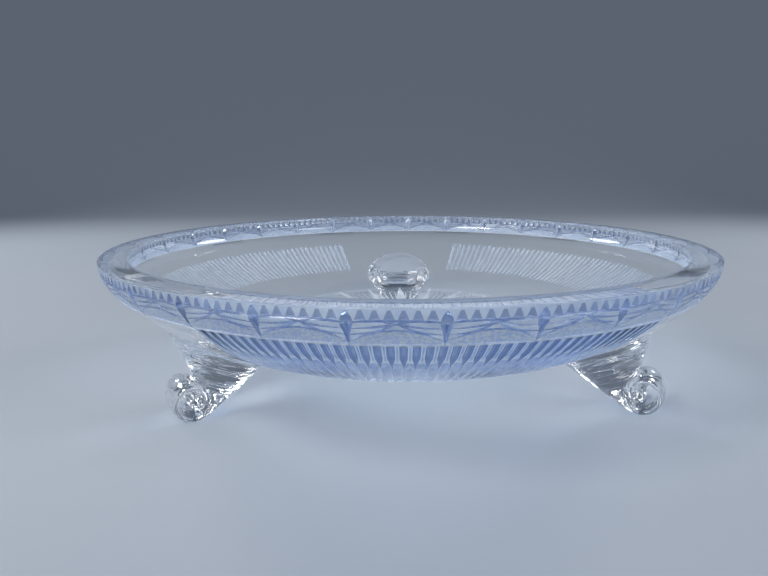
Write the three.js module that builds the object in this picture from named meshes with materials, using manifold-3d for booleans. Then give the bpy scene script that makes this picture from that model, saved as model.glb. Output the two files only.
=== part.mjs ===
// Footed bowl of cut crystal: a wide shallow bowl carried by three applied scroll feet.
// Millimetres, +Z up. The origin is on the table, under the centre of the bowl.
// The viewer stands on the -Y side, and one foot is at the back, on +Y.
import * as THREE from 'three';
import Module from 'manifold-3d';
import { mergeVertices } from 'three/addons/utils/BufferGeometryUtils.js';

const wasm = await Module();
wasm.setup();

// The blown blank
const rimRadius = 152.5;
const rimHeight = 74;
const rimWidth = 12.5;
const bandHeight = 13.7;
const bandInset = 5.6;
const bandBulge = 7;
const bellyInset = 24;
const bellyRise = 11;
const baseRadius = 77;
const baseHeight = 23.4;
const wallThickness = 7.5;
const bandTaper = 0.7; // the share of the rim's extra width that is gone at the foot of the band
const bellyTaper = 1.2; // how fast, over the belly, the rest of it goes

// The cut pattern
const repeats = 31;
const patternTurn = 2.35;
const mitreLength = 13;
const mitreWidth = 4.8;
const mitreDepth = 2.2;
const mitreMiddle = 0.53; // the share of the way down the band
const flutesPerRepeat = 7;
const fluteDepth = 0.9;
const fluteTop = 0.18; // the share of the way down the belly
const fluteRunOut = 0.03;
const fluteEndRadius = 112;
const rearWindow = 36;
const frontWindow = 50.3;
const starRays = 24;
const starRadius = 84;
const starEye = 10;
const rayWidth = 5.4;
const rayDepth = 1.6;

// The scroll feet were drawn by hand, so each has its own place round the bowl and its own reach.
const feet = {
  foot_rear: { angle: 180, reach: 0 },
  foot_front_left: { angle: -60, reach: 0 },
  foot_front_right: { angle: 63, reach: 5 },
};
const padSetback = 3; // out from the base
const padInset = 24; // in from the rim
const padWidth = 47;
const legNarrowing = 0.8; // the share of the way from the pad's width to the scroll's, over the leg
const legTaper = 0.8;
const heelInset = 9.1;
const frontLean = 2.5;
const frontBend = 0.3;
const shoulderShare = 0.42;
const squareness = 0.8; // 1 is an oval section, less is squarer
const scrollRadius = 10.7;
const scrollInset = 8;
const scrollWidth = 24;
const ribbonThickness = 4.2;
const coilGap = 0.5;
const coilTurns = 1.45;
const crownTurns = -0.44;
const groundFlat = 0.35;
const seatGap = 0.3;

// Facets
const rimFacets = 120;
const innerFacets = 72;
const bandSteps = 4;
const footSides = 16;
const legSteps = 6;
const shoulderSteps = 7;
const coilSteps = 22;
const cutMargin = 1; // how far a cutter stands out of the glass

const rad = THREE.MathUtils.degToRad;
const bandRadius = rimRadius - bandInset;
const bandBottom = rimHeight - bandHeight;
const repeatAngle = 360 / repeats;
const padInner = baseRadius + padSetback;
const padOuter = rimRadius - padInset;
const footSpacing = 360 / Object.keys(feet).length;
const floorHeight = baseHeight + wallThickness;
const coilPitch = ribbonThickness + coilGap;

// The outer face of the bowl as seen in section: the band below the rim, then the belly.
const band = new THREE.QuadraticBezierCurve(
  new THREE.Vector2(rimRadius, rimHeight),
  new THREE.Vector2(rimRadius, rimHeight - bandBulge),
  new THREE.Vector2(bandRadius, bandBottom),
);
const belly = new THREE.QuadraticBezierCurve(
  new THREE.Vector2(bandRadius, bandBottom),
  new THREE.Vector2(bandRadius - bellyInset, baseHeight + bellyRise),
  new THREE.Vector2(baseRadius, baseHeight),
);

// A place on the bowl, its angle counted from the front and growing to the viewer's right.
function place(radius, height, degrees) {
  const angle = rad(degrees);
  return new THREE.Vector3(radius * Math.sin(angle), -radius * Math.cos(angle), height);
}

// The direction out of the glass, in section, at a share t of the way down a curve.
function outward(curve, t) {
  const tangent = curve.getTangent(t);
  return new THREE.Vector2(-tangent.y, tangent.x);
}

function offsetPoint(curve, t, distance) {
  return curve.getPoint(t).addScaledVector(outward(curve, t), distance);
}

// How far down the belly, from 0 to 1, the outer face has a radius.
function bellyShareAt(radius) {
  let low = 0;
  let high = 1;
  for (let step = 0; step < 40; step += 1) {
    const middle = (low + high) / 2;
    if (belly.getPoint(middle).x > radius) low = middle;
    else high = middle;
  }
  return low;
}

function bellyHeightAt(radius) {
  return belly.getPoint(bellyShareAt(radius)).y;
}

// Closed meshes and their joins and cuts
function closedGeometry(points, triangles) {
  const geometry = new THREE.BufferGeometry();
  const numbers = points.flatMap((point) => point.toArray());
  geometry.setAttribute('position', new THREE.Float32BufferAttribute(numbers, 3));
  const volume = triangles.reduce((sum, [a, b, c]) => (
    sum + points[a].dot(new THREE.Vector3().crossVectors(points[b], points[c]))
  ), 0);
  const outwardTriangles = volume < 0 ? triangles.map(([a, b, c]) => [a, c, b]) : triangles;
  geometry.setIndex(outwardTriangles.flat());
  return geometry;
}

function solidOf(geometry) {
  const bare = geometry.clone();
  bare.deleteAttribute('normal');
  bare.deleteAttribute('uv');
  const merged = mergeVertices(bare, 1e-4);
  return new wasm.Manifold(new wasm.Mesh({
    numProp: 3,
    vertProperties: new Float32Array(merged.attributes.position.array),
    triVerts: new Uint32Array(merged.index.array),
  }));
}

function geometryOf(solid) {
  const mesh = solid.getMesh();
  const geometry = new THREE.BufferGeometry();
  geometry.setAttribute('position', new THREE.BufferAttribute(mesh.vertProperties, 3));
  geometry.setIndex(new THREE.BufferAttribute(mesh.triVerts, 1));
  geometry.computeVertexNormals();
  return geometry;
}

// A skin over rings that may each have their own number of points, closed by a point at both ends.
// Each ring is a list of { angle, point } in order of angle.
function skinRings(firstPole, rings, lastPole) {
  const points = [firstPole];
  const starts = [];
  for (const ring of rings) {
    starts.push(points.length);
    points.push(...ring.map((entry) => entry.point));
  }
  points.push(lastPole);
  const triangles = [];
  const first = rings[0];
  for (let i = 0; i < first.length; i += 1) {
    triangles.push([0, starts[0] + ((i + 1) % first.length), starts[0] + i]);
  }
  for (let r = 0; r + 1 < rings.length; r += 1) {
    const lower = rings[r];
    const upper = rings[r + 1];
    let i = 0;
    let j = 0;
    while (i < lower.length || j < upper.length) {
      const nextLower = i + 1 < lower.length ? lower[i + 1].angle : lower[0].angle + 360;
      const nextUpper = j + 1 < upper.length ? upper[j + 1].angle : upper[0].angle + 360;
      const a = starts[r] + (i % lower.length);
      const b = starts[r + 1] + (j % upper.length);
      if (j >= upper.length || (i < lower.length && nextLower <= nextUpper)) {
        triangles.push([a, starts[r] + ((i + 1) % lower.length), b]);
        i += 1;
      } else {
        triangles.push([a, starts[r + 1] + ((j + 1) % upper.length), b]);
        j += 1;
      }
    }
  }
  const last = rings.at(-1);
  for (let i = 0; i < last.length; i += 1) {
    triangles.push([starts.at(-1) + i, starts.at(-1) + ((i + 1) % last.length), points.length - 1]);
  }
  return closedGeometry(points, triangles);
}

// A loft through sections of equal count, closed by a flat fan at both ends.
function loft(sections) {
  const count = sections[0].length;
  const points = sections.flat();
  const triangles = [];
  for (let s = 0; s + 1 < sections.length; s += 1) {
    for (let i = 0; i < count; i += 1) {
      const a = s * count + i;
      const b = s * count + ((i + 1) % count);
      triangles.push([a, b, b + count], [a, b + count, a + count]);
    }
  }
  const top = (sections.length - 1) * count;
  for (let i = 1; i + 1 < count; i += 1) {
    triangles.push([0, i + 1, i], [top, top + i, top + i + 1]);
  }
  return closedGeometry(points, triangles);
}

function evenRing(radius, height, count) {
  const ring = [];
  for (let i = 0; i < count; i += 1) {
    const angle = (360 * i) / count;
    ring.push({ angle, point: place(radius, height, angle) });
  }
  return ring;
}

// The three panels of flutes lie between the feet, and a clear window is left over each foot.
function flutePanels() {
  const fluteAngle = repeatAngle / flutesPerRepeat;
  const frontSpan = footSpacing - frontWindow;
  const sideSpan = footSpacing - (frontWindow + rearWindow) / 2;
  const whole = (span) => Math.round(span / fluteAngle);
  const panel = (start, flutes) => ({ start, flutes, fluteAngle });
  return [
    panel(patternTurn - (whole(frontSpan) * fluteAngle) / 2, whole(frontSpan)),
    panel(180 - rearWindow / 2 - whole(sideSpan) * fluteAngle, whole(sideSpan)),
    panel(180 + rearWindow / 2, whole(sideSpan)),
  ];
}

// One ring through the flutes: each flute is a hollow between two sharp ridges.
function fluteRing(share, panels, windowStep) {
  const ridge = belly.getPoint(share);
  const hollow = offsetPoint(belly, share, -fluteDepth);
  const ring = [];
  panels.forEach(({ start, flutes, fluteAngle }, index) => {
    for (let i = 0; i <= 2 * flutes; i += 1) {
      const at = i % 2 === 0 ? ridge : hollow;
      const angle = start + (i * fluteAngle) / 2;
      ring.push({ angle, point: place(at.x, at.y, angle) });
    }
    const end = start + flutes * fluteAngle;
    const next = index + 1 < panels.length ? panels[index + 1].start : panels[0].start + 360;
    const steps = Math.max(1, Math.round((next - end) / windowStep));
    for (let i = 1; i < steps; i += 1) {
      const angle = end + ((next - end) * i) / steps;
      ring.push({ angle, point: place(ridge.x, ridge.y, angle) });
    }
  });
  const turned = ring.map(({ angle, point }) => ({ angle: (angle + 720) % 360, point }));
  return turned.sort((a, b) => a.angle - b.angle);
}

// The inside face lies a wall's thickness in, which grows to the rim's width at the top.
function innerRings() {
  const rings = [];
  const { lerp, smoothstep } = THREE.MathUtils;
  const thicknessAt = (share) => lerp(rimWidth, wallThickness, smoothstep(share, 0, 1));
  const upperSteps = 2;
  const lowerSteps = 7;
  for (let i = 0; i < upperSteps; i += 1) {
    const t = i / upperSteps;
    rings.push(offsetPoint(band, t, -thicknessAt(bandTaper * t)));
  }
  for (let i = 0; i <= lowerSteps; i += 1) {
    const t = i / lowerSteps;
    rings.push(offsetPoint(belly, t, -thicknessAt(bandTaper + bellyTaper * t)));
  }
  rings[0].set(rimRadius - rimWidth, rimHeight);
  rings.at(-1).y = floorHeight;
  rings.forEach((point) => point.setY(Math.max(point.y, floorHeight)));
  return rings.map((point, i) => evenRing(point.x, point.y, i === 0 ? rimFacets : innerFacets));
}

function bowlBlank() {
  const panels = flutePanels();
  const fluteEnd = bellyShareAt(fluteEndRadius);
  const windowStep = 360 / rimFacets;
  const plain = (curve, t) => evenRing(curve.getPoint(t).x, curve.getPoint(t).y, rimFacets);
  const outer = [
    plain(belly, 1),
    plain(belly, (fluteEnd + 1) / 2),
    plain(belly, fluteEnd + fluteRunOut),
    ...[1, 0.5, 0].map((k) => fluteRing(THREE.MathUtils.lerp(fluteTop, fluteEnd, k), panels, windowStep)),
    ...[1, 0.5].map((k) => plain(belly, (fluteTop - fluteRunOut) * k)),
    ...Array.from({ length: bandSteps + 1 }, (_, i) => plain(band, 1 - i / bandSteps)),
  ];
  return skinRings(
    new THREE.Vector3(0, 0, baseHeight),
    [...outer, ...innerRings()],
    new THREE.Vector3(0, 0, floorHeight),
  );
}

// A V-shaped groove that follows the outer face, widest and deepest in its middle.
// Each stop gives the section's point, its way out of the glass, and its fullness from 0 to 1.
function groove(stops, degrees, width, depth) {
  const across = place(1, 0, degrees + 90);
  const sections = stops.map(({ point, out, fullness }) => {
    const base = place(point.x, point.y, degrees);
    const up = place(out.x, out.y, degrees);
    const deep = depth * fullness;
    const half = (width / 2) * fullness;
    const lip = half * (1 + cutMargin / deep);
    return [
      base.clone().addScaledVector(up, -deep),
      base.clone().addScaledVector(up, cutMargin).addScaledVector(across, lip),
      base.clone().addScaledVector(up, cutMargin).addScaledVector(across, -lip),
    ];
  });
  return solidOf(loft(sections));
}

const grooveStops = [-0.97, -0.55, 0, 0.55, 0.97];

function mitreCuts() {
  const reach = mitreLength / 2 / band.getLength();
  const stops = grooveStops.map((s) => {
    const t = mitreMiddle + s * reach;
    return { point: band.getPoint(t), out: outward(band, t), fullness: 1 - s * s };
  });
  const cuts = [];
  for (let i = 0; i < repeats; i += 1) {
    cuts.push(groove(stops, patternTurn + i * repeatAngle, mitreWidth, mitreDepth));
  }
  return cuts;
}

// The star under the base: its rays run from near the centre out past the base's edge,
// with a stop where they turn over that edge.
function starCuts() {
  const down = new THREE.Vector2(0, -1);
  const edge = THREE.MathUtils.mapLinear(baseRadius, starEye, starRadius, -1, 1);
  const places = [...grooveStops, edge].filter((s) => s < 1).sort((a, b) => a - b);
  const stops = places.map((s) => {
    const radius = THREE.MathUtils.mapLinear(s, -1, 1, starEye, starRadius);
    const point = new THREE.Vector2(radius, Math.max(baseHeight, bellyHeightAt(radius)));
    let out = down;
    if (radius > baseRadius) out = outward(belly, bellyShareAt(radius));
    if (s === edge) out = outward(belly, 1).add(down).normalize();
    return { point, out, fullness: 1 - s * s };
  });
  const rayAngle = 360 / starRays;
  const cuts = [];
  for (let i = 0; i < starRays; i += 1) {
    cuts.push(groove(stops, i * rayAngle, rayWidth, rayDepth));
  }
  return cuts;
}

function cutBowl() {
  let bowl = solidOf(bowlBlank());
  for (const cut of [...mitreCuts(), ...starCuts()]) bowl = bowl.subtract(cut);
  return bowl;
}

// The foot in section: two edges that run down from the bowl and roll up into the scroll.
// The coil is a ribbon whose radius falls by one pitch each turn. Turns are counted from its lowest point.
function footOutline(reach) {
  const centre = new THREE.Vector2(padOuter - scrollInset + reach, scrollRadius - groundFlat);
  const coilPoint = (turns, radius) => {
    const angle = rad(270 + 360 * turns);
    return new THREE.Vector2(Math.cos(angle), Math.sin(angle)).multiplyScalar(radius).add(centre);
  };
  const coilOuter = (turns) => coilPoint(turns, scrollRadius - coilPitch * turns);
  const coilInner = (turns) => coilPoint(turns, scrollRadius - ribbonThickness - coilPitch * turns);
  const backEdge = new THREE.QuadraticBezierCurve(
    new THREE.Vector2(padInner, bellyHeightAt(padInner)),
    new THREE.Vector2(centre.x - heelInset, centre.y - scrollRadius),
    coilOuter(0),
  );
  const crown = coilInner(crownTurns);
  const frontTop = new THREE.Vector2(padOuter, bellyHeightAt(padOuter));
  const frontEdge = new THREE.QuadraticBezierCurve(
    frontTop,
    new THREE.Vector2(crown.x + frontLean, crown.y + frontBend * (frontTop.y - crown.y)),
    crown,
  );
  return { backEdge, frontEdge, coilOuter, coilInner };
}

// A section of the foot across its outline, from an oval to a rounded box as its power falls from 1.
function footSection(back, front, halfWidth, power, degrees) {
  const across = place(1, 0, degrees + 90);
  const section = [];
  for (let i = 0; i < footSides; i += 1) {
    const turn = (2 * Math.PI * i) / footSides;
    const along = Math.sign(Math.cos(turn)) * Math.abs(Math.cos(turn)) ** power;
    const side = Math.sign(Math.sin(turn)) * Math.abs(Math.sin(turn)) ** power;
    const x = (back.x + front.x) / 2 + ((front.x - back.x) / 2) * along;
    const z = (back.y + front.y) / 2 + ((front.y - back.y) / 2) * along;
    section.push(place(x, z, degrees).addScaledVector(across, side * halfWidth));
  }
  return section;
}

function footBlank({ angle, reach }) {
  const { backEdge, frontEdge, coilOuter, coilInner } = footOutline(reach);
  const sections = [];
  const halfWidthAt = (share) => THREE.MathUtils.lerp(padWidth, scrollWidth, share ** legTaper) / 2;
  const padMiddle = bellyShareAt((padInner + padOuter) / 2);
  const intoTheWall = outward(belly, padMiddle).multiplyScalar(-wallThickness);
  sections.push(footSection(
    backEdge.getPoint(0).add(intoTheWall), frontEdge.getPoint(0).add(intoTheWall), halfWidthAt(0), 1, angle,
  ));
  for (let i = 0; i <= legSteps; i += 1) {
    const t = i / legSteps;
    const back = backEdge.getPoint(shoulderShare * t);
    const power = THREE.MathUtils.lerp(1, squareness, t);
    sections.push(footSection(back, frontEdge.getPoint(t), halfWidthAt(legNarrowing * t), power, angle));
  }
  for (let i = 1; i <= shoulderSteps; i += 1) {
    const t = i / shoulderSteps;
    const back = backEdge.getPoint(THREE.MathUtils.lerp(shoulderShare, 1, t));
    const halfWidth = halfWidthAt(THREE.MathUtils.lerp(legNarrowing, 1, t));
    sections.push(footSection(back, coilInner(crownTurns * (1 - t)), halfWidth, squareness, angle));
  }
  for (let i = 1; i <= coilSteps; i += 1) {
    const turns = (coilTurns * i) / coilSteps;
    sections.push(footSection(coilOuter(turns), coilInner(turns), scrollWidth / 2, squareness, angle));
  }
  return solidOf(loft(sections));
}

// The feet are seated against the outer face, and ground flat where they stand.
function seatEnvelope() {
  const steps = 16;
  const profile = [
    new THREE.Vector2(0, baseHeight - seatGap),
    new THREE.Vector2(baseRadius, baseHeight - seatGap),
  ];
  for (let i = steps; i >= 0; i -= 1) profile.push(offsetPoint(belly, i / steps, seatGap));
  profile.push(new THREE.Vector2(rimRadius, rimHeight), new THREE.Vector2(0, rimHeight));
  const lathe = new THREE.LatheGeometry(profile, rimFacets);
  lathe.rotateX(Math.PI / 2);
  return solidOf(lathe);
}

function tableBlock() {
  const depth = 10;
  const block = new THREE.BoxGeometry(4 * rimRadius, 4 * rimRadius, depth);
  block.translate(0, 0, -depth / 2);
  return solidOf(block);
}

function material() {
  return new THREE.MeshStandardMaterial({
    color: 0xe4ecf6,
    roughness: 0.05,
    metalness: 0,
    transparent: true,
    opacity: 0.4,
  });
}

function part(name, solid) {
  const mesh = new THREE.Mesh(geometryOf(solid), material());
  mesh.name = name;
  return mesh;
}

const footedBowl = new THREE.Group();
footedBowl.add(part('bowl', cutBowl()));

const envelope = seatEnvelope();
const table = tableBlock();
for (const [name, foot] of Object.entries(feet)) {
  footedBowl.add(part(name, footBlank(foot).subtract(envelope).subtract(table)));
}

export default footedBowl;
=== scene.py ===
import math

import bpy
from mathutils import Matrix, Vector


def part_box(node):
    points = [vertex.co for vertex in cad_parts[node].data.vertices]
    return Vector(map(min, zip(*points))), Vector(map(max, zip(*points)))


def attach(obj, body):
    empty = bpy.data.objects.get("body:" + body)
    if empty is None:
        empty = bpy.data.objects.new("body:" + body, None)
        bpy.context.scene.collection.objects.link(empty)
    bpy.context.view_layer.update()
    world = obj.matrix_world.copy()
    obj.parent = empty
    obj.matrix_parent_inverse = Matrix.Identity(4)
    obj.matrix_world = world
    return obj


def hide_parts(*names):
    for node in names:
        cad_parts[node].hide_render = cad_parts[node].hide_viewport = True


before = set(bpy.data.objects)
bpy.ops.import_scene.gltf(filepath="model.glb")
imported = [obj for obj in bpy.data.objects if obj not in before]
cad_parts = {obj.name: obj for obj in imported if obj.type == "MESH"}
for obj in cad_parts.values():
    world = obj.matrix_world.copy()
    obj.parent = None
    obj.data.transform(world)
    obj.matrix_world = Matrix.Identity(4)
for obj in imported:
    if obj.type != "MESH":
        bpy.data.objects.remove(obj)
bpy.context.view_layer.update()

# A footed bowl of cut crystal. Metres, Z up. Angles are degrees round the bowl,
# counted from the viewer's side and growing to the right.

lowBowl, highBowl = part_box("bowl")
rimRadius = (highBowl.x - lowBowl.x) / 2
rimHeight = highBowl.z
baseHeight = lowBowl.z

blank = {
    "rimWidth": 0.0125,
    "rimRound": 0.0005,
    "bandHeight": 0.0137,
    "bandInset": 0.0056,
    "bandBulge": 0.007,
    "bellyInset": 0.024,
    "bellyRise": 0.011,
    "baseRadius": 0.077,
    "wall": 0.0075,
    "bandTaper": 0.7,  # share of the rim's extra width gone at the foot of the band
    "bellyTaper": 1.2,
    "columns": 300,
    "bandRows": 12,
    "bellyRows": 26,
    "baseRows": 9,
    "innerPoints": 8,  # of the inner section, along the belly
    "innerRows": 3,  # between two of these points
    "floorRows": 6,
    "sharpAngle": 24,
}

pattern = {
    "repeats": 31,
    "turn": 2.35,
    "frontPanel": 6,  # repeats of flutes between the two front feet
    "rearWindow": 36.0,
    "sideFlutes": 47,
    "starRays": 24,
}
repeatAngle = 360 / pattern["repeats"]


# curves in section

def bezier(curve, t):
    a, b, c = curve
    return (1 - t) ** 2 * a + 2 * t * (1 - t) * b + t * t * c


def outward(curve, t):
    a, b, c = curve
    slope = (1 - t) * (b - a) + t * (c - b)
    return Vector((-slope.y, slope.x)).normalized()


def offset(curve, t, distance):
    return bezier(curve, t) + outward(curve, t) * distance


def mix(a, b, t):
    return a + (b - a) * t


def smooth(t):
    t = min(max(t, 0), 1)
    return t * t * (3 - 2 * t)


bandFoot = Vector((rimRadius - blank["bandInset"], rimHeight - blank["bandHeight"]))
band = (
    Vector((rimRadius, rimHeight)),
    Vector((rimRadius, rimHeight - blank["bandBulge"])),
    bandFoot,
)
belly = (
    bandFoot,
    Vector((bandFoot.x - blank["bellyInset"], baseHeight + blank["bellyRise"])),
    Vector((blank["baseRadius"], baseHeight)),
)
floorHeight = baseHeight + blank["wall"]


def bellyShareAt(radius):
    low, high = 0.0, 1.0
    for _ in range(40):
        middle = (low + high) / 2
        if bezier(belly, middle).x > radius:
            low = middle
        else:
            high = middle
    return low


def around(radius, height, degrees):
    angle = math.radians(degrees)
    return Vector((radius * math.sin(angle), -radius * math.cos(angle), height))


def through(points, rows):  # a smooth line through the points
    line = []
    for i in range(len(points) - 1):
        before = points[max(i - 1, 0)]
        a, b = points[i], points[i + 1]
        after = points[min(i + 2, len(points) - 1)]
        for row in range(rows):
            t = row / rows
            inSlope, outSlope = (b - before) / 2, (after - a) / 2
            line.append(
                a * (2 * t**3 - 3 * t**2 + 1) + b * (3 * t**2 - 2 * t**3)
                + inSlope * (t**3 - 2 * t**2 + t) + outSlope * (t**3 - t**2)
            )
    line.append(points[-1])
    return line


def innerSection():
    def thickness(share):
        return mix(blank["rimWidth"], blank["wall"], smooth(share))

    points = [offset(band, t, -thickness(blank["bandTaper"] * t)) for t in (0, 0.5)]
    for i in range(blank["innerPoints"]):
        t = i / (blank["innerPoints"] - 1)
        points.append(offset(belly, t, -thickness(blank["bandTaper"] + blank["bellyTaper"] * t)))
    for point in points:
        point.y = max(point.y, floorHeight)
    points[0] = Vector((rimRadius - blank["rimWidth"], rimHeight))
    points[-1].y = floorHeight
    return through(points, blank["innerRows"])


def rimCorner(middle, turns):
    edge = blank["rimRound"]
    arms = [(math.cos(math.radians(turn)), math.sin(math.radians(turn))) for turn in turns]
    return [Vector((middle + edge * x, rimHeight - edge + edge * y)) for x, y in arms]


def blankSection():  # from the middle of the base up to the rim, over it and down to the floor
    baseRows, floorRows, edge = blank["baseRows"], blank["floorRows"], blank["rimRound"]
    rows = [Vector((blank["baseRadius"] * i / baseRows, baseHeight)) for i in range(baseRows + 1)]
    rows += [bezier(belly, 1 - i / blank["bellyRows"]) for i in range(1, blank["bellyRows"] + 1)]
    bandPoints = [bezier(band, 1 - i / blank["bandRows"]) for i in range(1, blank["bandRows"])]
    rows += [p for p in bandPoints if p.y < rimHeight - edge]

    outerCorner, innerCorner = rimRadius - edge, rimRadius - blank["rimWidth"] + edge
    rows += rimCorner(outerCorner, (0, 30, 60, 90))
    rows.append(Vector((mix(outerCorner, innerCorner, 0.5), rimHeight)))
    rows += rimCorner(innerCorner, (90, 120, 150, 180))

    inner = innerSection()
    rows += [p for p in inner[1:] if p.y < rimHeight - edge]
    last = inner[-1].x
    rows += [Vector((last * (1 - i / floorRows), floorHeight)) for i in range(1, floorRows + 1)]
    return rows


# meshes

def addObject(name, points, faces, materials=()):
    mesh = bpy.data.meshes.new(name)
    mesh.from_pydata([tuple(p) for p in points], [], faces)
    volume = 0
    for face in faces:
        for i in range(1, len(face) - 1):
            volume += points[face[0]].dot(points[face[i]].cross(points[face[i + 1]]))
    if volume < 0:
        mesh.flip_normals()
    mesh.update()
    for material in materials:
        mesh.materials.append(material)
    piece = bpy.data.objects.new(name, mesh)
    bpy.context.scene.collection.objects.link(piece)
    return piece


def spin(rows, columns):  # the first and last rows are on the axis
    points = [Vector((0, 0, rows[0].y)), Vector((0, 0, rows[-1].y))]
    inner = rows[1:-1]
    faces = []
    for column in range(columns):
        points += [around(p.x, p.y, 360 * column / columns) for p in inner]
    count = len(inner)
    for column in range(columns):
        a = 2 + column * count
        b = 2 + (column + 1) % columns * count
        faces.append((0, b, a))
        faces.append((1, a + count - 1, b + count - 1))
        faces += [(a + i, b + i, b + i + 1, a + i + 1) for i in range(count - 1)]
    return points, faces


def loft(sections):
    count = len(sections[0])
    points = [p for section in sections for p in section]
    faces = [tuple(range(count))[::-1], tuple(range(len(points) - count, len(points)))]
    for s in range(len(sections) - 1):
        for i in range(count):
            a, b = s * count + i, s * count + (i + 1) % count
            faces.append((a, b, b + count, a + count))
    return points, faces


# wheel shapes: (place across, depth) as shares, and how fast the lip widens above the glass
mitreWheel = {"points": [(1, 0), (0, -1), (-1, 0)], "lip": 1.0}
roundWheel = {"points": [(x / 4, (x / 4) ** 2 - 1) for x in range(4, -5, -1)], "lip": 0.5}
cutMargin = 0.001


def cutter(name, stations, wheel, width, depth):  # a station: point, outward, across, fullness
    sections = []
    for point, out, across, fullness in stations:
        half, deep = width / 2 * fullness, depth * fullness
        lip = half + wheel["lip"] * cutMargin * half / deep
        section = [point + across * (x * half) + out * (y * deep) for x, y in wheel["points"]]
        above = point + out * cutMargin
        sections.append([above + across * lip, *section, above - across * lip])
    return addObject(name, *loft(sections))


def straightDown(curve, shares, fullness):  # a cut in a radial plane, at the front
    stations = []
    for i, t in enumerate(shares):
        at, out = bezier(curve, t), outward(curve, t)
        stations.append((around(at.x, at.y, 0), around(out.x, out.y, 0), Vector((1, 0, 0)), fullness[i]))
    return stations


def alongBand(places, fullness):  # a cut across the band, through (degrees, share of the band)
    stations = []
    spots = []
    for degrees, share in places:
        at, out = bezier(band, share), outward(band, share)
        spots.append((around(at.x, at.y, degrees), around(out.x, out.y, degrees)))
    for i, (point, out) in enumerate(spots):
        before, after = spots[max(i - 1, 0)][0], spots[min(i + 1, len(spots) - 1)][0]
        stations.append((point, out, out.cross(after - before).normalized(), fullness[i]))
    return stations


# the cutting wheel's work, repeated round the bowl by one tree

def buildCutTree():
    tree = bpy.data.node_groups.new("cutRound", "GeometryNodeTree")
    sockets = [
        ("Geometry", "NodeSocketGeometry"),
        ("Cutter", "NodeSocketObject"),
        ("Count", "NodeSocketInt"),
        ("First Angle", "NodeSocketFloat"),
        ("Step Angle", "NodeSocketFloat"),
        ("Finish", "NodeSocketMaterial"),
    ]
    for name, kind in sockets:
        tree.interface.new_socket(name, in_out="INPUT", socket_type=kind)
    tree.interface.new_socket("Geometry", in_out="OUTPUT", socket_type="NodeSocketGeometry")
    nodes, links = tree.nodes, tree.links
    given, result = nodes.new("NodeGroupInput"), nodes.new("NodeGroupOutput")

    points = nodes.new("GeometryNodePoints")
    links.new(given.outputs["Count"], points.inputs["Count"])
    shape = nodes.new("GeometryNodeObjectInfo")
    links.new(given.outputs["Cutter"], shape.inputs["Object"])
    marked, unmarked = (nodes.new("GeometryNodeStoreNamedAttribute") for _ in range(2))
    for node, value in ((marked, True), (unmarked, False)):
        node.data_type, node.domain = "BOOLEAN", "FACE"
        node.inputs["Name"].default_value = "freshCut"
        node.inputs["Value"].default_value = value
    links.new(shape.outputs["Geometry"], marked.inputs["Geometry"])
    links.new(given.outputs["Geometry"], unmarked.inputs["Geometry"])

    turn = nodes.new("ShaderNodeMath")
    turn.operation = "MULTIPLY_ADD"
    links.new(nodes.new("GeometryNodeInputIndex").outputs[0], turn.inputs[0])
    links.new(given.outputs["Step Angle"], turn.inputs[1])
    links.new(given.outputs["First Angle"], turn.inputs[2])
    euler = nodes.new("ShaderNodeCombineXYZ")
    links.new(turn.outputs[0], euler.inputs["Z"])
    rotation = nodes.new("FunctionNodeEulerToRotation")
    links.new(euler.outputs[0], rotation.inputs[0])
    wheels = nodes.new("GeometryNodeInstanceOnPoints")
    links.new(points.outputs[0], wheels.inputs["Points"])
    links.new(marked.outputs[0], wheels.inputs["Instance"])
    links.new(rotation.outputs[0], wheels.inputs["Rotation"])

    cut = nodes.new("GeometryNodeMeshBoolean")
    cut.operation, cut.solver = "DIFFERENCE", "MANIFOLD"
    links.new(unmarked.outputs[0], cut.inputs["Mesh 1"])
    links.new(wheels.outputs[0], cut.inputs["Mesh 2"])
    plain = nodes.new("GeometryNodeRealizeInstances")
    links.new(cut.outputs["Mesh"], plain.inputs[0])
    fresh = nodes.new("GeometryNodeInputNamedAttribute")
    fresh.data_type = "BOOLEAN"
    fresh.inputs["Name"].default_value = "freshCut"
    finish = nodes.new("GeometryNodeSetMaterial")
    links.new(plain.outputs[0], finish.inputs["Geometry"])
    links.new(fresh.outputs["Attribute"], finish.inputs["Selection"])
    links.new(given.outputs["Finish"], finish.inputs["Material"])
    links.new(finish.outputs[0], result.inputs[0])
    return tree


cutRound = buildCutTree()
socketOf = {
    item.name: item.identifier for item in cutRound.interface.items_tree
    if item.item_type == "SOCKET" and item.in_out == "INPUT"
}


def cutAway(piece, wheel, finish, count=1, first=0.0, step=0.0):
    modifier = piece.modifiers.new(wheel.name, "NODES")
    modifier.node_group = cutRound
    modifier[socketOf["Cutter"]] = wheel
    modifier[socketOf["Count"]] = count
    modifier[socketOf["First Angle"]] = math.radians(first)
    modifier[socketOf["Step Angle"]] = math.radians(step)
    modifier[socketOf["Finish"]] = finish


tools = []  # taken away at the end


def tool(piece):
    tools.append(piece)
    return piece


def settle(piece, sharpAngle):  # the modifiers' result as a plain mesh, with crisp cut edges
    bpy.context.view_layer.update()
    seen = piece.evaluated_get(bpy.context.evaluated_depsgraph_get())
    mesh = bpy.data.meshes.new_from_object(seen)
    mesh.name = piece.name
    piece.modifiers.clear()
    piece.data = mesh
    if "freshCut" in mesh.attributes:
        mesh.attributes.remove(mesh.attributes["freshCut"])
    mesh.polygons.foreach_set("use_smooth", [True] * len(mesh.polygons))
    mesh.set_sharp_from_angle(angle=math.radians(sharpAngle))
    mesh.update()
    mesh.calc_loop_triangles()
    print(piece.name, len(mesh.loop_triangles), "triangles")


# materials

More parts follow.
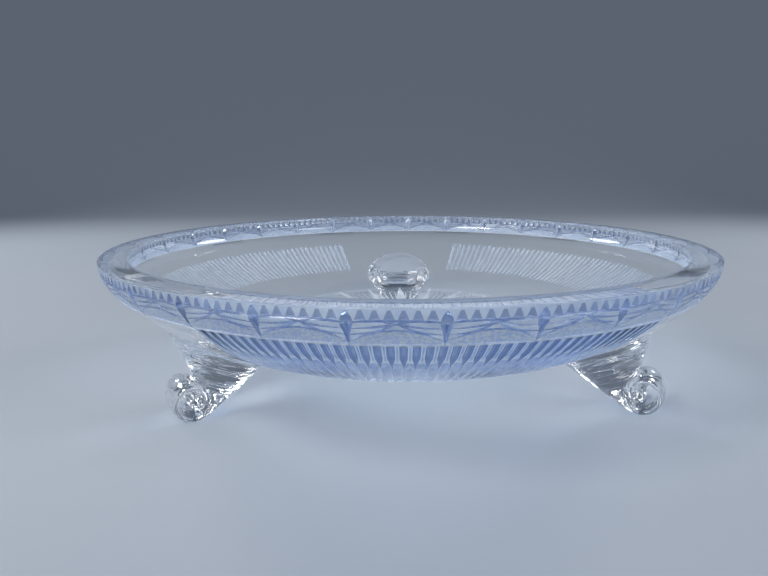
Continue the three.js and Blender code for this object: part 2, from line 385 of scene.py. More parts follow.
def alongWall(nodes, links, place, streaks):  # places squeezed across the slope of the wall
    parts = nodes.new("ShaderNodeSeparateXYZ")
    links.new(place.outputs["Object"], parts.inputs["Vector"])
    ground = nodes.new("ShaderNodeVectorMath")
    ground.operation = "MULTIPLY"
    ground.inputs[1].default_value = (1, 1, 0)
    links.new(place.outputs["Object"], ground.inputs[0])
    radius = nodes.new("ShaderNodeVectorMath")
    radius.operation = "LENGTH"
    links.new(ground.outputs["Vector"], radius.inputs[0])

    fall = nodes.new("ShaderNodeMath")  # height over a cone that runs with the wall
    fall.operation = "MULTIPLY_ADD"
    fall.inputs[1].default_value = -streaks["slope"]
    links.new(radius.outputs["Value"], fall.inputs[0])
    links.new(parts.outputs["Z"], fall.inputs[2])
    squeeze = nodes.new("ShaderNodeMath")
    squeeze.operation = "MULTIPLY"
    squeeze.inputs[1].default_value = streaks["squeeze"]
    links.new(fall.outputs["Value"], squeeze.inputs[0])

    spot = nodes.new("ShaderNodeCombineXYZ")
    links.new(parts.outputs["X"], spot.inputs["X"])
    links.new(parts.outputs["Y"], spot.inputs["Y"])
    links.new(squeeze.outputs["Value"], spot.inputs["Z"])
    return spot.outputs["Vector"]


def glass(name, look):
    material = bpy.data.materials.new(name)
    material.use_nodes = True
    nodes, links = material.node_tree.nodes, material.node_tree.links
    nodes.clear()
    output = nodes.new("ShaderNodeOutputMaterial")
    body = nodes.new("ShaderNodeBsdfPrincipled")
    body.inputs["IOR"].default_value = look["ior"]
    body.inputs["Transmission Weight"].default_value = look["clear"]
    place = nodes.new("ShaderNodeTexCoord")

    tint = nodes.new("ShaderNodeTexNoise")
    tint.inputs["Scale"].default_value = look["tintScale"]
    links.new(place.outputs["Object"], tint.inputs["Vector"])
    spread = nodes.new("ShaderNodeMapRange")
    spread.inputs["From Min"].default_value = look["tintSpread"][0]
    spread.inputs["From Max"].default_value = look["tintSpread"][1]
    links.new(tint.outputs["Fac"], spread.inputs["Value"])
    tone = nodes.new("ShaderNodeMix")
    tone.data_type = "RGBA"
    tone.inputs["A"].default_value = look["tone"]
    tone.inputs["B"].default_value = look["otherTone"]
    links.new(spread.outputs["Result"], tone.inputs["Factor"])
    links.new(tone.outputs["Result"], body.inputs["Base Color"])

    grain = nodes.new("ShaderNodeTexNoise")
    grain.inputs["Scale"].default_value = look["grainScale"]
    grain.inputs["Detail"].default_value = look["grainDetail"]
    links.new(place.outputs["Object"], grain.inputs["Vector"])
    matt = nodes.new("ShaderNodeMapRange")
    matt.inputs["To Min"].default_value = look["roughness"][0]
    matt.inputs["To Max"].default_value = look["roughness"][1]
    links.new(grain.outputs["Fac"], matt.inputs["Value"])
    links.new(matt.outputs["Result"], body.inputs["Roughness"])

    wave = nodes.new("ShaderNodeTexNoise")
    wave.inputs["Scale"].default_value = look["waveScale"]
    wave.inputs["Detail"].default_value = look["waveDetail"]
    if look["streaks"]:
        links.new(alongWall(nodes, links, place, look["streaks"]), wave.inputs["Vector"])
    else:
        links.new(place.outputs["Object"], wave.inputs["Vector"])
    bump = nodes.new("ShaderNodeBump")
    bump.inputs["Strength"].default_value = look["waveStrength"]
    bump.inputs["Distance"].default_value = look["waveHeight"]
    links.new(wave.outputs["Fac"], bump.inputs["Height"])
    links.new(bump.outputs["Normal"], body.inputs["Normal"])

    # lamps shine through, and less where the glass is seen edge on
    facing = nodes.new("ShaderNodeLayerWeight")
    facing.inputs["Blend"].default_value = look["edgeBlend"]
    veil = nodes.new("ShaderNodeMix")
    veil.data_type = "RGBA"
    veil.inputs["A"].default_value = look["clearShade"]
    veil.inputs["B"].default_value = look["edgeShade"]
    links.new(facing.outputs["Facing"], veil.inputs["Factor"])
    shade = nodes.new("ShaderNodeBsdfTransparent")
    links.new(veil.outputs["Result"], shade.inputs["Color"])
    path = nodes.new("ShaderNodeLightPath")
    either = nodes.new("ShaderNodeMixShader")
    links.new(path.outputs["Is Shadow Ray"], either.inputs["Fac"])
    links.new(body.outputs[0], either.inputs[1])
    links.new(shade.outputs[0], either.inputs[2])
    links.new(either.outputs[0], output.inputs["Surface"])
    return material


crystal = {
    "ior": 1.54,
    "clear": 1.0,
    "tone": (0.99, 0.995, 1.0, 1),
    "otherTone": (0.975, 0.985, 1.0, 1),
    "tintScale": 14.0,
    "tintSpread": (0.38, 0.62),
    "grainDetail": 3.0,
    "streaks": None,
    "edgeBlend": 0.35,
    "clearShade": (0.84, 0.87, 0.91, 1),
    "edgeShade": (0.30, 0.35, 0.42, 1),
}
polishedCrystal = glass("polishedCrystal", {
    **crystal, "roughness": (0.0, 0.012), "grainScale": 60.0,
    "waveScale": 45.0, "waveDetail": 1.0, "waveStrength": 0.1, "waveHeight": 0.0004,
})
bandCrystal = glass("bandCrystal", {  # slightly rough, and milky pale blue: painted light and a painted blue reflection that brighten the band
    **crystal, "clear": 0.55, "tone": (0.80, 0.88, 1.0, 1), "otherTone": (0.66, 0.78, 0.98, 1),
    "tintScale": 220.0, "roughness": (0.06, 0.18), "grainScale": 350.0,
    "waveScale": 500.0, "waveDetail": 2.0, "waveStrength": 0.5, "waveHeight": 0.0003,
})
# pale and milky: a painted highlight on the ridges between the short hollows
ridgeCrystal = glass("ridgeCrystal", {
    **crystal, "clear": 0.5, "tone": (0.84, 0.92, 1.0, 1), "otherTone": (0.74, 0.85, 1.0, 1),
    "roughness": (0.04, 0.1), "grainScale": 350.0,
    "waveScale": 300.0, "waveDetail": 1.0, "waveStrength": 0.1, "waveHeight": 0.0002,
})
# pale and milky: painted light on the rear flutes, a lit copy of the front flutes' finish
fluteCrystal = glass("fluteCrystal", {
    **crystal, "clear": 0.62, "tone": (0.86, 0.93, 1.0, 1), "otherTone": (0.76, 0.86, 0.99, 1),
    "roughness": (0.01, 0.05), "grainScale": 300.0,
    "waveScale": 260.0, "waveDetail": 2.0, "waveStrength": 0.15, "waveHeight": 0.0002,
})
# dark navy: painted shade in the short hollows, with a painted blue reflection
deepFluteCrystal = glass("deepFluteCrystal", {
    **crystal, "clear": 0.62, "tone": (0.15, 0.27, 0.56, 1), "otherTone": (0.10, 0.20, 0.48, 1),
    "roughness": (0.02, 0.08), "grainScale": 300.0,
    "waveScale": 260.0, "waveDetail": 2.0, "waveStrength": 0.12, "waveHeight": 0.0002,
})
# darker blue than the rear flutes: painted shade and a painted blue reflection on the front flutes and
# the ridge lines
leafCrystal = glass("leafCrystal", {
    **crystal, "clear": 0.6, "tone": (0.62, 0.75, 1.0, 1), "otherTone": (0.42, 0.57, 0.90, 1),
    "tintScale": 160.0, "roughness": (0.02, 0.08), "grainScale": 300.0,
    "waveScale": 260.0, "waveDetail": 2.0, "waveStrength": 0.4, "waveHeight": 0.0003,
})
# dark blue-grey: painted shade and a painted blue reflection in the teeth
toothCrystal = glass("toothCrystal", {
    **crystal, "clear": 0.7, "tone": (0.46, 0.56, 0.80, 1), "otherTone": (0.34, 0.44, 0.70, 1),
    "roughness": (0.06, 0.14), "grainScale": 400.0,
    "waveScale": 500.0, "waveDetail": 2.0, "waveStrength": 0.3, "waveHeight": 0.0002,
})
# dark blue: painted shade and a painted blue reflection in the mitres and the fine lines
mitreCrystal = glass("mitreCrystal", {
    **crystal, "clear": 0.75, "tone": (0.33, 0.43, 0.67, 1), "otherTone": (0.21, 0.31, 0.57, 1),
    "tintScale": 400.0, "roughness": (0.10, 0.24), "grainScale": 400.0,
    "waveScale": 500.0, "waveDetail": 2.0, "waveStrength": 0.3, "waveHeight": 0.0002,
})
# near white and half opaque: painted light on the star's rays and on the band's edge line
starCrystal = glass("starCrystal", {
    **crystal, "clear": 0.38, "tone": (0.98, 0.99, 1.0, 1), "otherTone": (0.90, 0.95, 1.0, 1),
    "roughness": (0.03, 0.1), "grainScale": 400.0,
    "waveScale": 400.0, "waveDetail": 2.0, "waveStrength": 0.2, "waveHeight": 0.0002,
})
# frosted half-moons, pale from their roughness, made paler still by painted light and blue by a painted
# blue reflection
frostedCrystal = glass("frostedCrystal", {
    **crystal, "clear": 0.4, "tone": (0.82, 0.91, 1.0, 1), "otherTone": (0.52, 0.67, 0.98, 1),
    "tintScale": 900.0, "roughness": (0.28, 0.46), "grainScale": 500.0,
    "waveScale": 900.0, "waveDetail": 3.0, "waveStrength": 0.6, "waveHeight": 0.0003,
})
firedCrystal = glass("firedCrystal", {
    **crystal, "roughness": (0.0, 0.01), "grainScale": 80.0,
    "waveScale": 60.0, "waveDetail": 1.0, "waveStrength": 0.15, "waveHeight": 0.0005,
})
drawnCrystal = glass("drawnCrystal", {  # the leg, pulled out while it was soft
    **crystal, "roughness": (0.0, 0.01), "grainScale": 80.0, "streaks": {"slope": 0.45, "squeeze": 6.0},
    "waveScale": 60.0, "waveDetail": 1.0, "waveStrength": 0.7, "waveHeight": 0.0011,
})


def fusedSeam():  # where a foot was gathered onto the bowl there is no face between the two
    material = bpy.data.materials.new("fusedSeam")
    material.use_nodes = True
    nodes, links = material.node_tree.nodes, material.node_tree.links
    nodes.clear()
    output = nodes.new("ShaderNodeOutputMaterial")
    clear = nodes.new("ShaderNodeBsdfTransparent")
    links.new(clear.outputs[0], output.inputs["Surface"])
    return material


seamless = fusedSeam()
print("materials made")

# the feet: each rolls up from its pad into a scroll

foot = {
    "padSetback": 0.003,  # out from the base
    "padInset": 0.024,  # in from the rim
    "padWidth": 0.047,
    "legNarrowing": 0.8,
    "legTaper": 0.8,
    "heelInset": 0.0091,
    "frontLean": 0.0025,
    "frontBend": 0.3,
    "shoulderShare": 0.42,
    "squareness": 0.8,
    "scrollRadius": 0.0107,
    "scrollInset": 0.008,
    "scrollWidth": 0.024,
    "ribbon": 0.0042,
    "coilGap": 0.0005,
    "coilTurns": 1.45,
    "coilTaper": 0.0014,  # the inner turn is thinner, so a gap opens round it
    "taperStart": 0.85,
    "taperTurns": 0.35,
    "eyeShift": (-0.0018, 0.0008),
    "eyeStart": 0.6,
    "eyeTurns": 0.7,
    "beadHeight": 0.0006,
    "beadWidth": 0.0024,
    "beadFullness": 0.7,
    "crownTurns": -0.44,
    "groundFlat": 0.00035,
    "sides": 40,
    "legRows": 54,
    "shoulderRows": 16,
    "coilRows": 84,
    "seatDepth": 0.00002,
    "sharpAngle": 40,
}
feet = {
    "foot_rear": {"angle": 180, "reach": 0},
    "foot_front_left": {"angle": -60, "reach": 0},
    "foot_front_right": {"angle": 63, "reach": 0.005},
}
padInner = blank["baseRadius"] + foot["padSetback"]
padOuter = rimRadius - foot["padInset"]
coilPitch = foot["ribbon"] + foot["coilGap"]


def footSection(back, front, halfWidth, power, degrees):
    across = around(1, 0, degrees + 90)
    section = []
    for i in range(foot["sides"]):
        turn = 2 * math.pi * i / foot["sides"]
        along = math.copysign(abs(math.cos(turn)) ** power, math.cos(turn))
        side = math.copysign(abs(math.sin(turn)) ** power, math.sin(turn))
        middle = (back + front) / 2 + (front - back) / 2 * along
        section.append(around(middle.x, middle.y, degrees) + across * (side * halfWidth))
    return section


def beadedSection(section):  # the pad stands on the wall with a round edge, like a drop
    middle = sum(section, Vector()) / len(section)
    rounded = []
    for point in section:
        radius = math.hypot(point.x, point.y)
        share = bellyShareAt(min(max(radius, blank["baseRadius"]), bandFoot.x))
        gap = (bezier(belly, share).y - point.z) * -outward(belly, share).y
        rise = math.sin(math.pi * min(max(gap / foot["beadWidth"], 0), 1)) ** foot["beadFullness"]
        rounded.append(point + (point - middle).normalized() * foot["beadHeight"] * rise)
    return rounded


def footBlank(name, angle, reach):
    radius = foot["scrollRadius"]
    centre = Vector((padOuter - foot["scrollInset"] + reach, radius - foot["groundFlat"]))

    def coil(turns, r):
        a = math.radians(270 + 360 * turns)
        eye = Vector(foot["eyeShift"]) * smooth((turns - foot["eyeStart"]) / foot["eyeTurns"])
        return centre + eye + Vector((math.cos(a), math.sin(a))) * r

    def coilOuter(turns):
        thinner = foot["coilTaper"] * smooth((turns - foot["taperStart"]) / foot["taperTurns"])
        return coil(turns, radius - coilPitch * turns - thinner)

    def coilInner(turns):
        return coil(turns, radius - foot["ribbon"] - coilPitch * turns)

    top = bezier(belly, bellyShareAt(padInner))
    backEdge = (top, Vector((centre.x - foot["heelInset"], centre.y - radius)), coilOuter(0))
    frontTop = bezier(belly, bellyShareAt(padOuter))
    crown = coilInner(foot["crownTurns"])
    bend = Vector((crown.x + foot["frontLean"], mix(crown.y, frontTop.y, foot["frontBend"])))
    frontEdge = (frontTop, bend, crown)

    def halfWidth(share):
        return mix(foot["padWidth"], foot["scrollWidth"], share ** foot["legTaper"]) / 2

    intoWall = outward(belly, bellyShareAt((padInner + padOuter) / 2)) * -blank["wall"]
    sections = [footSection(top + intoWall, frontTop + intoWall, halfWidth(0), 1, angle)]
    for i in range(foot["legRows"] + 1):
        t = i / foot["legRows"]
        sections.append(footSection(
            bezier(backEdge, foot["shoulderShare"] * t), bezier(frontEdge, t),
            halfWidth(foot["legNarrowing"] * t), mix(1, foot["squareness"], t), angle,
        ))
    for i in range(1, foot["shoulderRows"] + 1):
        t = i / foot["shoulderRows"]
        sections.append(footSection(
            bezier(backEdge, mix(foot["shoulderShare"], 1, t)), coilInner(foot["crownTurns"] * (1 - t)),
            halfWidth(mix(foot["legNarrowing"], 1, t)), foot["squareness"], angle,
        ))
    for i in range(1, foot["coilRows"] + 1):
        turns = foot["coilTurns"] * i / foot["coilRows"]
        sections.append(footSection(
            coilOuter(turns), coilInner(turns), foot["scrollWidth"] / 2, foot["squareness"], angle,
        ))
    points, faces = loft([beadedSection(section) for section in sections])
    piece = addObject(name, points, faces, [firedCrystal, drawnCrystal])
    legFaces = 2 + foot["sides"] * (foot["legRows"] + foot["shoulderRows"] + 1)
    for face in piece.data.polygons[2:legFaces]:  # the first two close the ends
        face.material_index = 1
    return piece


def envelope(name, gap):  # all that lies inside the outer face, grown by a gap
    bellyRows = 40
    rows = [Vector((0, baseHeight - gap)), Vector((blank["baseRadius"], baseHeight - gap))]
    rows += [offset(belly, 1 - i / bellyRows, gap) for i in range(bellyRows + 1)]
    rows += [Vector((rimRadius, rimHeight)), Vector((0, rimHeight))]
    return addObject(name, *spin(rows, blank["columns"]))


def tableTool():
    side, bottom = 2 * rimRadius, -0.02
    corners = [(-side, -side), (side, -side), (side, side), (-side, side)]
    return addObject("tableTool", *loft([[Vector((x, y, z)) for x, y in corners] for z in (bottom, 0)]))


bowlSpace = tool(envelope("bowlSpace", 0.0))
seatSpace = tool(envelope("seatSpace", -foot["seatDepth"]))
table = tool(tableTool())
footPieces = {}
seats = []
for name, place in feet.items():
    piece = footBlank(name.replace("foot", "scroll_foot"), place["angle"], place["reach"])
    cutAway(piece, bowlSpace, seamless)
    cutAway(piece, table, firedCrystal)
    footPieces[name] = piece
    seat = tool(footBlank("seat_" + name, place["angle"], place["reach"]))
    cutAway(seat, seatSpace, seamless)
    seats.append(seat)

for piece in [*footPieces.values(), *seats]:
    settle(piece, foot["sharpAngle"])
print("feet rolled")

# the bowl: a blank, then every cut in its place

bowlFinishes = [polishedCrystal, bandCrystal, ridgeCrystal]
bowl = addObject("cut_bowl", *spin(blankSection(), blank["columns"]), bowlFinishes)
gapMiddle = pattern["turn"] + repeatAngle / 2  # halfway between two mitres

flute = {
    "depth": 0.0009, "perRepeat": 7, "top": 0.18, "endRadius": 0.111, "tip": 0.0036, "rows": 12,
    "endRows": [0.4, 0.7, 0.9, 0.985],  # shares of the round end
    "leafWidth": 0.93, "rearWidth": 0.66,  # shares of the pitch
}
fluteAngle = repeatAngle / flute["perRepeat"]
flutePitch = 2 * belly[0].x * math.tan(math.radians(fluteAngle / 2))


def fluteTool(name, widthShare):
    first, last = flute["top"], bellyShareAt(flute["endRadius"])
    tip = flute["tip"] / (belly[2] - belly[0]).length  # both ends are round
    ends, rows = flute["endRows"], flute["rows"]
    shares = [first + tip * (1 - s) for s in reversed(ends)]
    shares += [mix(first + tip, last - tip, i / rows) for i in range(rows + 1)]
    shares += [last - tip * (1 - s) for s in ends]
    narrower = [math.sqrt(1 - s**2) for s in ends]
    fullness = [*reversed(narrower), *[1] * (rows + 1), *narrower]
    fullness = [k * bezier(belly, t).x / belly[0].x for k, t in zip(fullness, shares)]
    stations = straightDown(belly, shares, fullness)
    return cutter(name, stations, roundWheel, flutePitch * widthShare, flute["depth"])


# short hollows hang from the band and end in a point between two flutes
upperFlute = {
    "depth": 0.0006, "width": 0.64, "top": 0.004, "shoulder": 0.13, "point": 0.25,
    "straightRows": 3, "rows": 8, "pointWidth": 0.06, "pointCurve": 0.8,
}


def upperFluteTool():
    look = upperFlute
    straight, rows = look["straightRows"], look["rows"]
    shares = [mix(look["top"], look["shoulder"], i / straight) for i in range(straight)]
    shares += [mix(look["shoulder"], look["point"], i / rows) for i in range(rows + 1)]
    fullness = [1] * straight
    fullness += [mix(1, look["pointWidth"], (i / rows) ** look["pointCurve"]) for i in range(rows + 1)]
    stations = straightDown(belly, shares, fullness)
    return cutter("upperFluteTool", stations, roundWheel, flutePitch * look["width"], look["depth"])


# a thin line runs down each ridge between them
ridgeLine = {"depth": 0.0003, "width": 0.0007, "top": 0.006, "bottom": 0.165, "rows": 5, "endWidth": 0.3}


def ridgeLineTool():
    look, rows = ridgeLine, ridgeLine["rows"]
    shares = [mix(look["top"], look["bottom"], i / rows) for i in range(rows + 1)]
    stations = straightDown(belly, shares, [1] * rows + [look["endWidth"]])
    return cutter("ridgeLineTool", stations, mitreWheel, look["width"], look["depth"])


leafWheel = tool(fluteTool("leafTool", flute["leafWidth"]))
fluteWheel = tool(fluteTool("fluteTool", flute["rearWidth"]))
frontFlutes = pattern["frontPanel"] * flute["perRepeat"]
frontStart = pattern["turn"] - frontFlutes * fluteAngle / 2
sideFlutes = pattern["sideFlutes"]
panels = [  # start, number of flutes, wheel, finish
    (frontStart, frontFlutes, leafWheel, leafCrystal),
    (180 - pattern["rearWindow"] / 2 - sideFlutes * fluteAngle, sideFlutes, fluteWheel, fluteCrystal),
    (180 + pattern["rearWindow"] / 2, sideFlutes, fluteWheel, fluteCrystal),
]


def paintBlankLight():  # the band gets painted light and the strip of the short hollows a painted highlight, both milky and pale
    for face in bowl.data.polygons:
        spot = face.center
        radius = math.hypot(spot.x, spot.y)
        degrees = math.degrees(math.atan2(spot.x, -spot.y))
        if radius > bandFoot.x and spot.z < rimHeight - blank["rimRound"]:
            face.material_index = 1
        elif face.normal.z < 0 and spot.z > bezier(belly, flute["top"]).y:
            if (degrees - frontStart) % 360 < frontFlutes * fluteAngle:
                face.material_index = 2


paintBlankLight()
upperWheel = tool(upperFluteTool())
cutAway(bowl, upperWheel, deepFluteCrystal, frontFlutes - 1, frontStart + fluteAngle, fluteAngle)
cutAway(bowl, tool(ridgeLineTool()), leafCrystal, frontFlutes, frontStart + fluteAngle / 2, fluteAngle)
for start, count, wheel, finish in panels:
    cutAway(bowl, wheel, finish, count, start + fluteAngle / 2, fluteAngle)

# a shallow ground field under an arch, from one mitre to the next
moon = {
    "top": 0.56, "ends": 0.92, "foot": 0.965, "archCurve": 1.9, "fill": 0.97, "columns": 20, "rows": 5,
    "depth": 0.0004, "lipDepth": 0.15, "dip": 2.5, "endRise": 0.8,
}


def moonTool():
    rows = moon["rows"]
    dips = [math.sin(math.pi / 2 * min(1, moon["dip"] * row / rows)) for row in range(rows + 1)]
    sunk = [moon["depth"] * mix(moon["lipDepth"], 1, dip) for dip in dips]
    sections = []
    for column in range(moon["columns"] + 1):
        side = 2 * column / moon["columns"] - 1
        top = mix(moon["top"], moon["ends"], abs(side) ** moon["archCurve"])
        shares = [mix(top, moon["foot"], row / rows) for row in range(rows + 1)]
        flatter = 1 - moon["endRise"] * side**2
        inner = [offset(band, t, -deep * flatter) for t, deep in zip(shares, sunk)]
        outer = [offset(band, t, cutMargin) for t in reversed(shares)]
        degrees = side * repeatAngle / 2 * moon["fill"]
        sections.append([around(p.x, p.y, degrees) for p in [*inner, *outer]])
    return addObject("moonTool", *loft(sections))


cutAway(bowl, tool(moonTool()), frostedCrystal, pattern["repeats"], gapMiddle, repeatAngle)

# small teeth under the rim, six between two mitres
tooth = {"top": 0.06, "bottom": 0.29, "width": 0.0038, "tipWidth": 0.3, "depth": 0.0010, "rows": 6}


def toothTool():
    rows = tooth["rows"]
    shares = [mix(tooth["top"], tooth["bottom"], i / rows) for i in range(rows + 1)]
    fullness = [mix(tooth["tipWidth"], 1, i / rows) for i in range(rows + 1)]
    stations = straightDown(band, shares, fullness)
    return cutter("toothTool", stations, mitreWheel, tooth["width"], tooth["depth"])


toothWheel = tool(toothTool())
for i in range(1, flute["perRepeat"]):  # a mitre stands in the seventh place
    place = pattern["turn"] + i * fluteAngle
    cutAway(bowl, toothWheel, toothCrystal, pattern["repeats"], place, repeatAngle)

# fine lines from a mitre (side -1) towards the next (side 1), through (side, share of the band)
fineLine = {"width": 0.0009, "depth": 0.00045, "endWidth": 0.15, "swell": 4, "columns": 14}
garlands = {
    "underTeeth": [(-1, 0.385), (-0.7, 0.325), (0, 0.31), (0.7, 0.325), (1, 0.385)],
    "upperFan": [(-1, 0.515), (-0.42, 0.465), (-0.06, 0.40), (0.14, 0.355), (0.3, 0.325)],
    "lowerFan": [(-1, 0.675), (-0.65, 0.635), (-0.42, 0.58), (-0.2, 0.485), (-0.04, 0.41)],
    "archLine": [
        (-1, 0.87), (-0.72, 0.72), (-0.42, 0.60), (0, 0.545), (0.42, 0.60), (0.72, 0.72), (1, 0.87),
    ],
}


def lineTool(name, spots, mirror):
    spots = [Vector(p) for p in spots]
    line = through(spots, max(2, fineLine["columns"] // (len(spots) - 1)))
    places = [(mirror * p.x * repeatAngle / 2, p.y) for p in line]
    if mirror < 0:
        places.reverse()
    fromEnd = [min(i, len(line) - 1 - i) for i in range(len(line))]
    fullness = [min(1, fineLine["endWidth"] + fineLine["swell"] * i / len(line)) for i in fromEnd]
    return cutter(name, alongBand(places, fullness), mitreWheel, fineLine["width"], fineLine["depth"])


for name, spots in garlands.items():
    for mirror in (1, -1) if spots[-1][0] != 1 else (1,):
        wheel = tool(lineTool(f"{name}Tool{mirror}", spots, mirror))
        cutAway(bowl, wheel, mitreCrystal, pattern["repeats"], gapMiddle, repeatAngle)

# the band's lower edge is left standing, and a fine line cut along it is painted pale as a highlight
edgeLine = {"share": 0.985, "fill": 0.985, "width": 0.0005, "depth": 0.00015, "columns": 10}


def edgeLineTool():
    sides = [2 * i / edgeLine["columns"] - 1 for i in range(edgeLine["columns"] + 1)]
    places = [(side * repeatAngle / 2 * edgeLine["fill"], edgeLine["share"]) for side in sides]
    stations = alongBand(places, [1] * len(places))
    return cutter("edgeLineTool", stations, mitreWheel, edgeLine["width"], edgeLine["depth"])


cutAway(bowl, tool(edgeLineTool()), starCrystal, pattern["repeats"], gapMiddle, repeatAngle)

# deep mitre cuts across the band, each a leaf on a stem
mitre = {
    "top": 0.07, "bottom": 0.93, "width": 0.0042, "depth": 0.0022,
    "outline": [0.12, 0.5, 0.78, 0.95, 1.0, 0.95, 0.8, 0.6, 0.46, 0.38, 0.33, 0.26, 0.1],
}


def mitreTool():
    last = len(mitre["outline"]) - 1
    shares = [mix(mitre["top"], mitre["bottom"], i / last) for i in range(last + 1)]
    stations = straightDown(band, shares, mitre["outline"])
    return cutter("mitreTool", stations, mitreWheel, mitre["width"], mitre["depth"])


cutAway(bowl, tool(mitreTool()), mitreCrystal, pattern["repeats"], pattern["turn"], repeatAngle)

# the star under the base: large rays with fine ones between
star = {
    "eye": 0.010, "tip": 0.084, "width": 0.0054, "depth": 0.0016, "rows": 14,
    "endReach": 0.985, "rayCurve": 0.7, "finePerGap": 4,
    "fineEye": 0.030, "fineTip": 0.074, "fineWidth": 0.0011, "fineDepth": 0.0005,
}


def starTool(name, eye, tip, width, depth):
    turns = [math.pi / 2 * (2 * i / star["rows"] - 1) for i in range(star["rows"] + 1)]
    radii = [mix(eye, tip, (math.sin(turn) * star["endReach"] + 1) / 2) for turn in turns]
    edge = blank["baseRadius"]
    if eye < edge < tip:
        radii = sorted([*radii, edge])
    stations = []
    for radius in radii:
        s = 2 * (radius - eye) / (tip - eye) - 1
        at, out = Vector((radius, baseHeight)), Vector((0, -1))
        if radius > edge:
            at, out = bezier(belly, bellyShareAt(radius)), outward(belly, bellyShareAt(radius))
        if radius == edge:
            out = (outward(belly, 1) + out).normalized()
        fullness = (1 - s * s) ** star["rayCurve"]
        stations.append((around(at.x, at.y, 0), around(out.x, out.y, 0), Vector((1, 0, 0)), fullness))
    return cutter(name, stations, mitreWheel, width, depth)


rayAngle = 360 / pattern["starRays"]
ray = tool(starTool("rayTool", star["eye"], star["tip"], star["width"], star["depth"]))
cutAway(bowl, ray, starCrystal, pattern["starRays"], 0, rayAngle)
fineRay = tool(starTool(
    "fineRayTool", star["fineEye"], star["fineTip"], star["fineWidth"], star["fineDepth"],
))
for i in range(star["finePerGap"]):
    share = (i + 1) / (star["finePerGap"] + 1)
    cutAway(bowl, fineRay, starCrystal, pattern["starRays"], rayAngle * share, rayAngle)
print("cuts placed")

for seat in seats:
    cutAway(bowl, seat, seamless)
settle(bowl, blank["sharpAngle"])
for piece in tools:
    bpy.data.objects.remove(piece)
print("bowl cut")

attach(bowl, "root")
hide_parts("bowl")
for name, piece in footPieces.items():
    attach(piece, "root")
    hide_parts(name)

# the floor runs up into a plain pale backdrop

room = {
    "front": -1.6, "back": 1.7, "side": 2.6, "bend": 0.7, "bendRows": 16, "height": 2.2,
    "roughness": 0.8, "fibreScale": 3.0,
    "tone": (0.47, 0.51, 0.57, 1), "otherTone": (0.53, 0.57, 0.63, 1),
    "farTone": (0.105, 0.125, 0.165, 1), "farStart": 0.5, "farEnd": 1.7,
}


def backdrop():
    bend, bendStart = room["bend"], room["back"] - room["bend"]
    line = [(room["front"], 0.0), (bendStart, 0.0)]
    for i in range(1, room["bendRows"] + 1):
        a = math.radians(90 * i / room["bendRows"])
        line.append((bendStart + bend * math.sin(a), bend * (1 - math.cos(a))))
    line.append((room["back"], room["height"]))
    points, faces = [], []
    for y, z in line:
        points += [(-room["side"], y, z), (room["side"], y, z)]
    for i in range(len(line) - 1):
        faces.append((2 * i, 2 * i + 1, 2 * i + 3, 2 * i + 2))
    mesh = bpy.data.meshes.new("studioFloor")
    mesh.from_pydata(points, [], faces)
    mesh.polygons.foreach_set("use_smooth", [True] * len(faces))
    floor = bpy.data.objects.new("studioFloor", mesh)
    bpy.context.scene.collection.objects.link(floor)

    material = bpy.data.materials.new("palePaper")
    material.use_nodes = True
    nodes, links = material.node_tree.nodes, material.node_tree.links
    paper = nodes["Principled BSDF"]
    paper.inputs["Roughness"].default_value = room["roughness"]
    place = nodes.new("ShaderNodeTexCoord")
    fibre = nodes.new("ShaderNodeTexNoise")
    fibre.inputs["Scale"].default_value = room["fibreScale"]
    links.new(place.outputs["Object"], fibre.inputs["Vector"])
    tone = nodes.new("ShaderNodeMix")
    tone.data_type = "RGBA"
    tone.inputs["A"].default_value = room["tone"]
    tone.inputs["B"].default_value = room["otherTone"]
    links.new(fibre.outputs["Fac"], tone.inputs["Factor"])
    links.new(tone.outputs["Result"], paper.inputs["Base Color"])

    # further back the eye sees an even tone
    apart = nodes.new("ShaderNodeSeparateXYZ")
    links.new(place.outputs["Object"], apart.inputs[0])
    far = nodes.new("ShaderNodeMapRange")
    far.interpolation_type = "SMOOTHSTEP"
    far.inputs["From Min"].default_value = room["farStart"]
    far.inputs["From Max"].default_value = room["farEnd"]
    links.new(apart.outputs["Y"], far.inputs["Value"])
    path = nodes.new("ShaderNodeLightPath")
    seen = path.outputs["Is Camera Ray"]
    for ray in ("Is Glossy Ray", "Is Transmission Ray"):
        either = nodes.new("ShaderNodeMath")
        either.operation = "MAXIMUM"
        links.new(seen, either.inputs[0])
        links.new(path.outputs[ray], either.inputs[1])
        seen = either.outputs[0]
    share = nodes.new("ShaderNodeMath")
    share.operation = "MULTIPLY"
    links.new(far.outputs["Result"], share.inputs[0])
    links.new(seen, share.inputs[1])
    even = nodes.new("ShaderNodeEmission")
    even.inputs["Color"].default_value = room["farTone"]
    mixed = nodes.new("ShaderNodeMixShader")
    links.new(share.outputs[0], mixed.inputs["Fac"])
    links.new(paper.outputs[0], mixed.inputs[1])
    links.new(even.outputs[0], mixed.inputs[2])
    links.new(mixed.outputs[0], nodes["Material Output"].inputs["Surface"])
    mesh.materials.append(material)
    return floor


backdrop()

# soft studio light

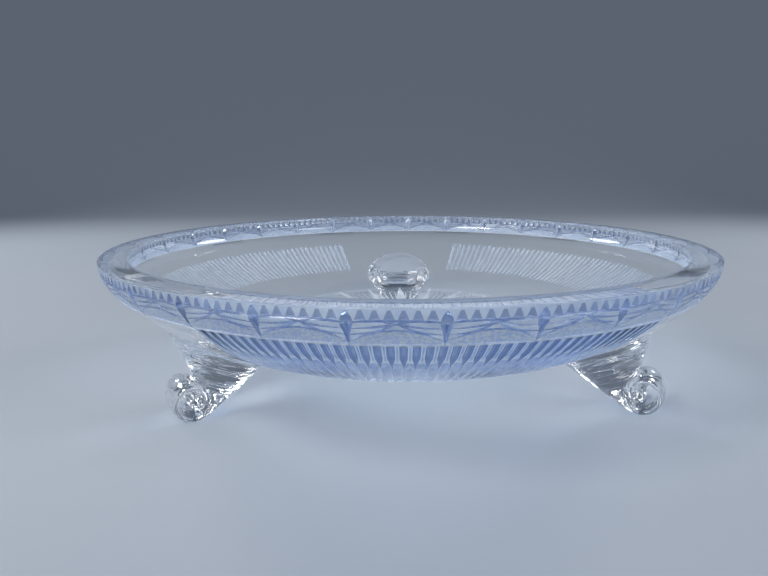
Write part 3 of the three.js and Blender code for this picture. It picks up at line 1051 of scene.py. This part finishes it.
lamps = {
    "keyLamp": {"at": (-0.6, -0.55, 0.75), "size": 0.35, "power": 4.6, "tone": (1.0, 0.98, 0.95)},
    "fillLamp": {"at": (0.8, -0.6, 0.6), "size": 0.45, "power": 2.6, "tone": (0.9, 0.95, 1.0)},
    "leftBackLamp": {"at": (-0.75, 0.6, 0.6), "size": 0.3, "power": 2.8, "tone": (0.92, 0.97, 1.0)},
    "rightBackLamp": {"at": (0.8, 0.55, 0.65), "size": 0.3, "power": 2.8, "tone": (0.95, 0.98, 1.0)},
}
lampAim = (0, 0, 0.04)
roomAir = {"tone": (0.115, 0.135, 0.17, 1), "strength": 1.0}


def addLamp(name, look):
    light = bpy.data.lights.new(name, "AREA")
    light.shape = "DISK"
    light.size = look["size"]
    light.energy = look["power"]
    light.color = look["tone"]
    lamp = bpy.data.objects.new(name, light)
    lamp.location = look["at"]
    aim = Vector(lampAim) - Vector(look["at"])
    lamp.rotation_euler = aim.to_track_quat("-Z", "Y").to_euler()
    bpy.context.scene.collection.objects.link(lamp)


for name, look in lamps.items():
    addLamp(name, look)

world = bpy.data.worlds.new("studioAir")
world.use_nodes = True
air = world.node_tree.nodes["Background"]
air.inputs["Color"].default_value = roomAir["tone"]
air.inputs["Strength"].default_value = roomAir["strength"]
bpy.context.scene.world = world

# the camera stands a little left of the middle and looks slightly down

view = {
    "at": (-0.0142, -0.3251, 0.1170), "yaw": 0.47, "pitch": 12.05, "roll": -0.35,
    "lens": 28.07, "sensor": 36.0, "nearest": 0.01,
}


def addCamera():
    data = bpy.data.cameras.new("viewer")
    data.lens = view["lens"]
    data.sensor_width = view["sensor"]
    data.clip_start = view["nearest"]
    camera = bpy.data.objects.new("viewer", data)
    yaw, pitch = math.radians(view["yaw"]), math.radians(view["pitch"])
    ahead = Vector((math.sin(yaw) * math.cos(pitch), math.cos(yaw) * math.cos(pitch), -math.sin(pitch)))
    turn = ahead.to_track_quat("-Z", "Y").to_matrix().to_4x4()
    roll = Matrix.Rotation(math.radians(view["roll"]), 4, "Z")
    camera.matrix_world = Matrix.Translation(view["at"]) @ turn @ roll
    bpy.context.scene.collection.objects.link(camera)
    bpy.context.scene.camera = camera


addCamera()
scene = bpy.context.scene
scene.view_settings.view_transform = "Standard"
scene.cycles.max_bounces = 24
scene.cycles.transmission_bounces = 24
scene.cycles.glossy_bounces = 12
scene.cycles.transparent_max_bounces = 16
print("stage set")
